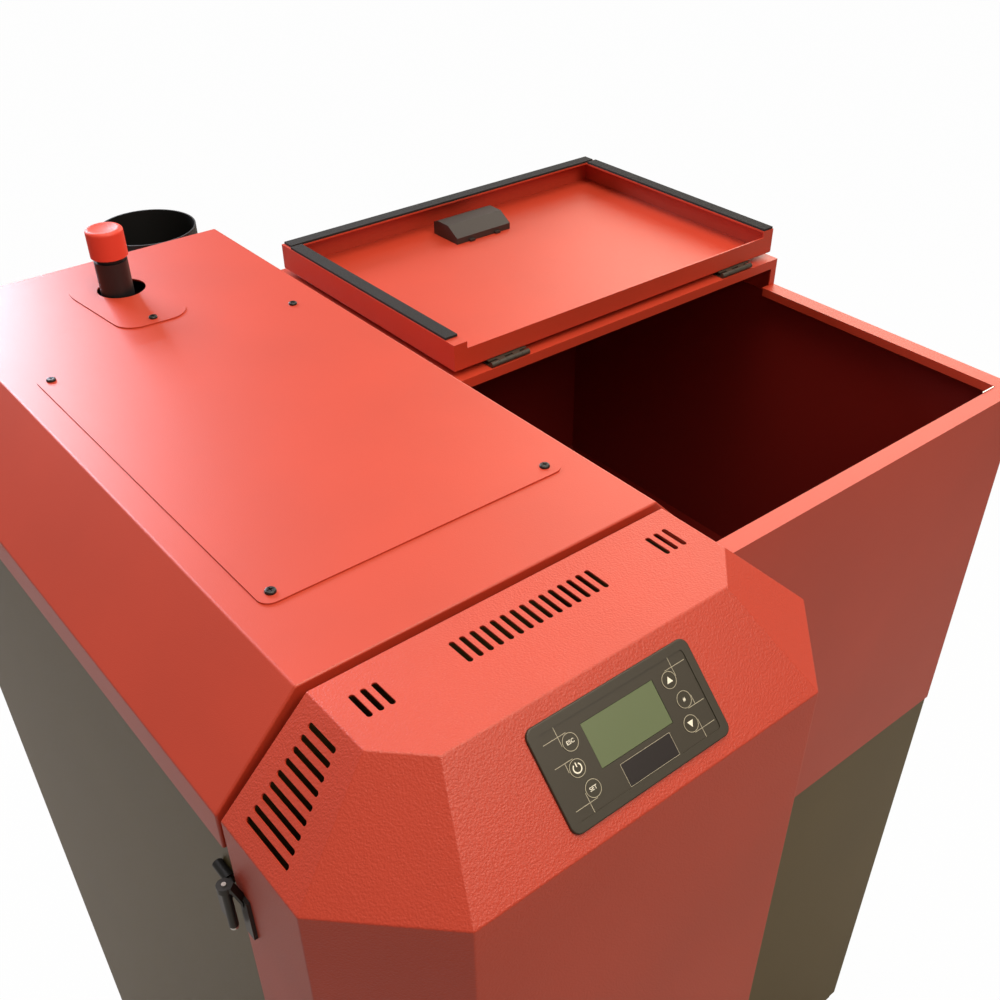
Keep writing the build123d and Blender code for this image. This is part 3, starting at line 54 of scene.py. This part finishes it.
# Camera
CAMERA_PLACE = (-0.73198, -0.96125, 2.10451)
CAMERA_TURN = (51.751, -0.036, -39.596)
CAMERA_LENS = 40.95
CAMERA_SENSOR = 36
CAMERA_SHIFT = (-0.0186, 0.0738)

# Places on the casing, from the frame
COVER_LOW, COVER_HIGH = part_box("top_cover")
HOOD_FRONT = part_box("front_cover")[0].y
TOP_Z = COVER_HIGH.z
CENTRE_X = (COVER_LOW.x + COVER_HIGH.x) / 2

# Tray of the hopper lid
TRAY_SHEET = 2 * MM
RIVET_MARGIN = 0.1 * MM

# Slanted face of the hood, with the control panel down from its upper edge
SLANT_RUN = 81 * MM
SLANT_ANGLE = 45
SLANT_SHARE = math.sqrt(0.5)
PANEL_OFFSET = 57.7 * MM
PANEL_WIDTH = 165 * MM
BEZEL_BORDER = 8 * MM
MEMBRANE_RISE = 1.8 * MM

# Keys, three at each side of the display
KEY_RISE = 2.1 * MM
KEY_RADIUS = 7.2 * MM
KEY_ROWS = ((51.0 * MM, 18.7 * MM), (55.5 * MM, -0.3 * MM), (51.2 * MM, -19.0 * MM))
LEFT_KEYS = ("key_esc", "key_power", "key_set")
RIGHT_KEYS = ("key_up", "key_menu", "key_down")
KEY_TEXTS = {"key_esc": "ESC", "key_set": "SET", "key_menu": "#"}

# Print on the panel
LINE_WIDTH = 0.45 * MM
LINE_THICKNESS = 0.08 * MM
LINE_MARGIN = 2 * MM
LINE_REACH = 9.5 * MM
RING_STEPS = 40
TEXT_HEIGHT = 4.4 * MM
TEXT_WEIGHT = 0.012
ARROW_REACH = 3 * MM
ARROW_BACK = 2.2 * MM
POWER_RADIUS = 3.6 * MM
POWER_START, POWER_END = 125, 415
POWER_WIDTH = 1.0 * MM
POWER_STEPS = 30
POWER_BAR_LOW, POWER_BAR_HIGH = 0.8 * MM, 4.4 * MM
POWER_BAR_WIDTH = 0.9 * MM

# Bare dark field under the display
FIELD_LEFT, FIELD_RIGHT = -22 * MM, 29.5 * MM
FIELD_LOW, FIELD_HIGH = -34 * MM, -15.5 * MM
FIELD_LINE = 0.3 * MM

# Surroundings
FLOOR_SIZE = 30
FLOOR_DROP = 0.5 * MM
FLOOR_GLOW = 0.985
COOL_LIGHT = (0.85, 0.86, 1.0)
WARM_LIGHT = (1.0, 0.88, 0.74)


# Materials
def new_material(name):
    material = bpy.data.materials.new(name)
    material.use_nodes = True
    shader = material.node_tree.nodes["Principled BSDF"]
    return material, material.node_tree, shader


def plain(name, colour, roughness, metallic=0.0, specular=0.5, coat=0.0):
    material, _, shader = new_material(name)
    shader.inputs["Base Color"].default_value = (*colour, 1)
    shader.inputs["Roughness"].default_value = roughness
    shader.inputs["Metallic"].default_value = metallic
    shader.inputs["Specular IOR Level"].default_value = specular
    shader.inputs["Coat Weight"].default_value = coat
    return material


def object_coordinates(tree):
    return tree.nodes.new("ShaderNodeTexCoord").outputs["Object"]


def add_bump(tree, shader, height, strength, distance):
    bump = tree.nodes.new("ShaderNodeBump")
    bump.inputs["Strength"].default_value = strength
    bump.inputs["Distance"].default_value = distance
    tree.links.new(height, bump.inputs["Height"])
    tree.links.new(bump.outputs["Normal"], shader.inputs["Normal"])


def add_mottle(tree, shader, colour, spread, scale):
    noise = tree.nodes.new("ShaderNodeTexNoise")
    noise.inputs["Scale"].default_value = scale
    noise.inputs["Detail"].default_value = 4
    tree.links.new(object_coordinates(tree), noise.inputs["Vector"])
    ramp = tree.nodes.new("ShaderNodeValToRGB")
    ramp.color_ramp.elements[0].position = 0.3
    ramp.color_ramp.elements[1].position = 0.7
    ramp.color_ramp.elements[0].color = (*[c * (1 - spread) for c in colour], 1)
    ramp.color_ramp.elements[1].color = (*[min(1, c * (1 + spread)) for c in colour], 1)
    tree.links.new(noise.outputs["Fac"], ramp.inputs["Fac"])
    tree.links.new(ramp.outputs["Color"], shader.inputs["Base Color"])


def textured_paint(name, colour, roughness, grain, depth):
    material, tree, shader = new_material(name)
    add_mottle(tree, shader, colour, 0.05, 6)
    shader.inputs["Roughness"].default_value = roughness
    shader.inputs["Specular IOR Level"].default_value = 0.6
    cells = tree.nodes.new("ShaderNodeTexVoronoi")
    cells.feature = "SMOOTH_F1"
    cells.inputs["Scale"].default_value = grain
    cells.inputs["Smoothness"].default_value = 0.6
    noise = tree.nodes.new("ShaderNodeTexNoise")
    noise.inputs["Scale"].default_value = grain * 1.7
    noise.inputs["Detail"].default_value = 2
    tree.links.new(object_coordinates(tree), cells.inputs["Vector"])
    tree.links.new(object_coordinates(tree), noise.inputs["Vector"])
    total = tree.nodes.new("ShaderNodeMath")
    total.operation = "ADD"
    tree.links.new(cells.outputs["Distance"], total.inputs[0])
    tree.links.new(noise.outputs["Fac"], total.inputs[1])
    add_bump(tree, shader, total.outputs["Value"], 0.5, depth)
    return material


def galvanised(name, colour, roughness):
    material, tree, shader = new_material(name)
    add_mottle(tree, shader, colour, 0.12, 40)
    shader.inputs["Roughness"].default_value = roughness
    shader.inputs["Metallic"].default_value = 1
    return material


def fibrous(name, colour, scale):
    material, tree, shader = new_material(name)
    add_mottle(tree, shader, colour, 0.25, scale)
    shader.inputs["Roughness"].default_value = 0.95
    noise = tree.nodes.new("ShaderNodeTexNoise")
    noise.inputs["Scale"].default_value = scale * 3
    noise.inputs["Detail"].default_value = 5
    tree.links.new(object_coordinates(tree), noise.inputs["Vector"])
    add_bump(tree, shader, noise.outputs["Fac"], 0.7, 0.002)
    return material


# Textured paint has a colour, a roughness, grains per metre and the depth of the grain
RED = (0.48, 0.044, 0.018)
MATERIALS = {
    "red_smooth": textured_paint("red_smooth", RED, 0.42, 900, 0.0001),
    "red_leather": textured_paint("red_leather", RED, 0.45, 520, 0.0005),
    "dark_panel": textured_paint("dark_panel", (0.100, 0.072, 0.020), 0.5, 500, 0.0003),
    "black_paint": plain("black_paint", (0.008, 0.008, 0.008), 0.4),
    "boiler_steel": textured_paint("boiler_steel", (0.03, 0.03, 0.033), 0.6, 600, 0.0001),
    "sheet_steel": galvanised("sheet_steel", (0.55, 0.55, 0.56), 0.4),
    "bright_steel": galvanised("bright_steel", (0.72, 0.72, 0.72), 0.3),
    "cast_iron": textured_paint("cast_iron", (0.03, 0.03, 0.03), 0.75, 500, 0.0002),
    "black_plastic": plain("black_plastic", (0.010, 0.010, 0.011), 0.45),
    "handle_plastic": plain("handle_plastic", (0.030, 0.024, 0.022), 0.4),
    "panel_plastic": textured_paint("panel_plastic", (0.028, 0.022, 0.011), 0.5, 2500, 0.00003),
    "red_plastic": plain("red_plastic", (0.70, 0.055, 0.028), 0.5),
    "membrane": plain("membrane", (0.031, 0.026, 0.014), 0.42),
    "window": plain("window", (0.125, 0.16, 0.078), 0.22, 0.0, 0.6, 0.4),
    "foam": fibrous("foam", (0.012, 0.012, 0.012), 400),
    "rope": fibrous("rope", (0.62, 0.60, 0.54), 220),
    "wool": fibrous("wool", (0.50, 0.42, 0.20), 60),
    "rivet": plain("rivet", (0.75, 0.50, 0.45), 0.4),
    "hinge_steel": plain("hinge_steel", (0.050, 0.044, 0.034), 0.4),
    "brass": plain("brass", (0.60, 0.40, 0.14), 0.3, 1.0),
    "board": plain("board", (0.01, 0.08, 0.03), 0.5),
    "print": plain("print", (0.42, 0.39, 0.29), 0.5),
    "bright_print": plain("bright_print", (0.85, 0.82, 0.70), 0.5),
    "label": plain("label", (0.012, 0.008, 0.008), 0.35),
    # The hopper bin gets the casing red darkened: painted shade for the shadowed inside of the
    # hopper
    "bin_red_painted_shade": plain("bin_red_painted_shade", (0.22, 0.010, 0.006), 0.5),
}

NODE_MATERIALS = {
    "red_smooth": ["top_cover", "service_plate", "valve_plate",
                   "hopper_upper_casing", "hopper_lid"],
    "red_leather": ["front_cover"],
    # The hopper bin takes the darkened red that paints the shade inside the hopper
    "bin_red_painted_shade": ["hopper_bin"],
    "dark_panel": ["left_side_panel", "right_side_panel", "hopper_lower_casing", "front_frame"],
    "black_paint": ["base_rails", "cover_hinge_brackets", "cover_hinge_arms", "flue_tee",
                    "screws_and_nuts", "gearmotor", "fan_motor", "loading_door_latch",
                    "ash_door_latch", "door_hinge_brackets"],
    "boiler_steel": ["water_jacket", "firebox", "tube_bundle", "cleaning_hatch",
                     "loading_door", "ash_door"],
    "sheet_steel": ["rear_panel", "auger_tube", "pellet_burner", "fan_housing",
                    "ash_pan", "turbulators"],
    "bright_steel": ["cover_hinge_pins", "auger_screw", "fan_impeller",
                     "lid_switch", "magnet_catches"],
    "hinge_steel": ["lid_hinge_plates", "lid_hinge_leaves"],
    "cast_iron": ["fire_grate"],
    "black_plastic": ["power_inlet", "levelling_feet", "relief_valve_body"],
    "handle_plastic": ["lid_handle"],
    "panel_plastic": ["display_housing"],
    "red_plastic": ["relief_valve_cap"],
    "membrane": [*LEFT_KEYS, *RIGHT_KEYS],
    "window": ["display_window"],
    "foam": ["lid_seal_strips"],
    "rope": ["loading_door_seal", "ash_door_seal"],
    "wool": ["insulation_slabs"],
    "brass": ["drain_valve"],
    "board": ["control_board"],
}


def dress_nodes():
    for material, names in NODE_MATERIALS.items():
        for name in names:
            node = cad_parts[name]
            if not node.material_slots:
                node.data.materials.append(MATERIALS[material])
            for place in node.material_slots:
                place.material = MATERIALS[material]


# Rivet heads are the faces of the hinge leaves above the tray's floor
def pale_rivets():
    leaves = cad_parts["lid_hinge_leaves"]
    tray_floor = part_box("hopper_lid")[0].z + TRAY_SHEET
    leaves.data.materials.append(MATERIALS["rivet"])
    for face in leaves.data.polygons:
        if (leaves.matrix_world @ face.center).z > tray_floor - RIVET_MARGIN:
            face.material_index = len(leaves.data.materials) - 1


# Thin printed lines and signs on the control panel, from its centre to the right and up
def panel_point(u, v, rise):
    up = v - PANEL_OFFSET
    back = HOOD_FRONT + SLANT_RUN
    return Vector((CENTRE_X + u,
                   back + up * SLANT_SHARE - rise * SLANT_SHARE,
                   TOP_Z + up * SLANT_SHARE + rise * SLANT_SHARE))


def key_places():
    places = {}
    for side, names in ((-1, LEFT_KEYS), (1, RIGHT_KEYS)):
        for name, (u, v) in zip(names, KEY_ROWS):
            places[name] = (side * u, v)
    return places


def panel_mesh(name, outlines, rise, body, material):
    mesh = bpy.data.meshes.new(name)
    shape = bmesh.new()
    for outline in outlines:
        low = [shape.verts.new(panel_point(u, v, rise)) for u, v in outline]
        high = [shape.verts.new(panel_point(u, v, rise + LINE_THICKNESS)) for u, v in outline]
        count = len(outline)
        shape.faces.new(high)
        shape.faces.new(list(reversed(low)))
        for k in range(count):
            n = (k + 1) % count
            shape.faces.new((low[k], low[n], high[n], high[k]))
    bmesh.ops.recalc_face_normals(shape, faces=shape.faces)
    shape.to_mesh(mesh)
    shape.free()
    piece = bpy.data.objects.new(name, mesh)
    bpy.context.scene.collection.objects.link(piece)
    mesh.materials.append(MATERIALS[material])
    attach(piece, body)


def line(u0, v0, u1, v1, width=LINE_WIDTH):
    along = Vector((u1 - u0, v1 - v0)).normalized() * width / 2
    side = Vector((-along.y, along.x))
    return [(u0 + side.x, v0 + side.y), (u0 - side.x, v0 - side.y),
            (u1 - side.x, v1 - side.y), (u1 + side.x, v1 + side.y)]


def arc(u, v, radius, start, end, width=LINE_WIDTH, steps=RING_STEPS):
    pieces = []
    for k in range(steps):
        a = math.radians(start + (end - start) * k / steps)
        b = math.radians(start + (end - start) * (k + 1) / steps)
        near = radius - width / 2
        far = radius + width / 2
        pieces.append([(u + near * math.cos(a), v + near * math.sin(a)),
                       (u + far * math.cos(a), v + far * math.sin(a)),
                       (u + far * math.cos(b), v + far * math.sin(b)),
                       (u + near * math.cos(b), v + near * math.sin(b))])
    return pieces


def sign(name, text, u, v, body):
    curve = bpy.data.curves.new(name, "FONT")
    curve.body = text
    curve.size = TEXT_HEIGHT
    curve.align_x = "CENTER"
    curve.align_y = "CENTER"
    curve.extrude = LINE_THICKNESS / 2
    curve.offset = TEXT_HEIGHT * TEXT_WEIGHT
    piece = bpy.data.objects.new(name, curve)
    bpy.context.scene.collection.objects.link(piece)
    curve.materials.append(MATERIALS["bright_print"])
    piece.location = panel_point(u, v, KEY_RISE + LINE_THICKNESS)
    piece.rotation_euler = (math.radians(SLANT_ANGLE), 0, 0)
    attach(piece, body)


def key_mark(name, u, v):
    tip, back = ARROW_REACH, ARROW_BACK
    if name == "key_up":
        return [[(u - tip, v - back), (u + tip, v - back), (u, v + tip)]]
    if name == "key_down":
        return [[(u - tip, v + back), (u, v - tip), (u + tip, v + back)]]
    if name == "key_power":
        turn = arc(u, v, POWER_RADIUS, POWER_START, POWER_END, POWER_WIDTH, POWER_STEPS)
        bar = line(u, v + POWER_BAR_LOW, u, v + POWER_BAR_HIGH, POWER_BAR_WIDTH)
        return turn + [bar]
    return []


def print_keys():
    ring = KEY_RADIUS - LINE_WIDTH
    for name, (u, v) in key_places().items():
        rings = arc(u, v, ring, 0, 360)
        panel_mesh(name + "_ring", rings, KEY_RISE, name, "print")
        mark = key_mark(name, u, v)
        if mark:
            panel_mesh(name + "_mark", mark, KEY_RISE, name, "bright_print")
    for name, text in KEY_TEXTS.items():
        u, v = key_places()[name]
        sign(name + "_sign", text, u, v, name)


# One line runs outward from each key to the panel's edge, and one runs beside the key
def print_lines():
    edge = PANEL_WIDTH / 2 - BEZEL_BORDER - LINE_MARGIN
    r = KEY_RADIUS + LINE_WIDTH
    outlines = []
    for side, middle in ((-1, 1), (1, -1)):
        for (u, v), way, reach in zip(KEY_ROWS, (1, middle, -1), (LINE_REACH, 0, LINE_REACH)):
            u = side * u
            level = v + way * r
            outlines.append(line(u, level, side * edge, level))
            outlines.append(line(u + side * r, v, u + side * r, v + way * (r + reach)))
    panel_mesh("panel_lines", outlines, MEMBRANE_RISE, "front_cover", "print")


def print_field():
    u0, u1, v0, v1 = FIELD_LEFT, FIELD_RIGHT, FIELD_LOW, FIELD_HIGH
    sides = ((u0, v0, u1, v0), (u0, v1, u1, v1), (u0, v0, u0, v1), (u1, v0, u1, v1))
    outlines = [line(*side, FIELD_LINE) for side in sides]
    panel_mesh("label_outline", outlines, MEMBRANE_RISE, "front_cover", "print")
    field = [[(u0, v0), (u1, v0), (u1, v1), (u0, v1)]]
    rise = MEMBRANE_RISE - LINE_THICKNESS / 2
    panel_mesh("label_field", field, rise, "front_cover", "label")


# Floor, light and camera
def lamp(name, place, target, size, power, colour):
    data = bpy.data.lights.new(name, "AREA")
    data.shape = "RECTANGLE"
    data.size, data.size_y = size
    data.energy = power
    data.color = colour
    light = bpy.data.objects.new(name, data)
    bpy.context.scene.collection.objects.link(light)
    light.location = place
    aim = Vector(target) - Vector(place)
    light.rotation_mode = "QUATERNION"
    light.rotation_quaternion = aim.to_track_quat("-Z", "Y")


def make_floor():
    material, tree, shader = new_material("studio_floor")
    shader.inputs["Base Color"].default_value = (0.45, 0.43, 0.40, 1)
    shader.inputs["Roughness"].default_value = 0.9
    path = tree.nodes.new("ShaderNodeLightPath")
    glow = tree.nodes.new("ShaderNodeEmission")
    glow.inputs["Strength"].default_value = 1
    mix = tree.nodes.new("ShaderNodeMixShader")
    share = tree.nodes.new("ShaderNodeMath")
    share.operation = "MULTIPLY"
    share.inputs[1].default_value = FLOOR_GLOW
    tree.links.new(path.outputs["Is Camera Ray"], share.inputs[0])
    tree.links.new(share.outputs[0], mix.inputs["Fac"])
    tree.links.new(shader.outputs["BSDF"], mix.inputs[1])
    tree.links.new(glow.outputs["Emission"], mix.inputs[2])
    tree.links.new(mix.outputs["Shader"], tree.nodes["Material Output"].inputs["Surface"])
    bpy.ops.mesh.primitive_plane_add(size=FLOOR_SIZE, location=(0, 0, -FLOOR_DROP))
    floor = bpy.context.object
    floor.name = "studio_floor"
    floor.data.materials.append(material)


def make_world():
    world = bpy.data.worlds.new("studio")
    bpy.context.scene.world = world
    world.use_nodes = True
    tree = world.node_tree
    soft = tree.nodes["Background"]
    soft.inputs["Color"].default_value = (1.0, 0.94, 0.84, 1)
    soft.inputs["Strength"].default_value = 0.3
    bright = tree.nodes.new("ShaderNodeBackground")
    bright.inputs["Color"].default_value = (1, 1, 1, 1)
    bright.inputs["Strength"].default_value = 1
    path = tree.nodes.new("ShaderNodeLightPath")
    mix = tree.nodes.new("ShaderNodeMixShader")
    tree.links.new(path.outputs["Is Camera Ray"], mix.inputs["Fac"])
    tree.links.new(soft.outputs["Background"], mix.inputs[1])
    tree.links.new(bright.outputs["Background"], mix.inputs[2])
    tree.links.new(mix.outputs["Shader"], tree.nodes["World Output"].inputs["Surface"])


def make_lights():
    middle = ((cad_low + cad_high) / 2).to_tuple()
    top = (CENTRE_X, 0, TOP_Z)
    rear_left = (-0.4, 0.3, TOP_Z)
    lamp("window_light", place=(-0.35, 3.3, 2.7), target=rear_left,
         size=(1.4, 1.2), power=140, colour=COOL_LIGHT)
    lamp("room_light", place=(3.0, 1.6, 3.2), target=top,
         size=(2.4, 3.4), power=80, colour=WARM_LIGHT)
    lamp("ceiling_light", place=(-0.1, -0.2, 4.3), target=top,
         size=(2.2, 2.2), power=66, colour=WARM_LIGHT)
    lamp("front_light", place=(0.4, -2.2, 4.0), target=middle,
         size=(1.8, 1.8), power=60, colour=WARM_LIGHT)


def make_camera():
    data = bpy.data.cameras.new("camera")
    data.lens = CAMERA_LENS
    data.sensor_width = CAMERA_SENSOR
    data.shift_x, data.shift_y = CAMERA_SHIFT
    camera = bpy.data.objects.new("camera", data)
    bpy.context.scene.collection.objects.link(camera)
    camera.location = CAMERA_PLACE
    camera.rotation_euler = [math.radians(a) for a in CAMERA_TURN]
    bpy.context.scene.camera = camera


dress_nodes()
pale_rivets()
print_keys()
print_lines()
print_field()
make_floor()
make_world()
make_lights()
make_camera()
bpy.context.scene.view_settings.view_transform = "Standard"
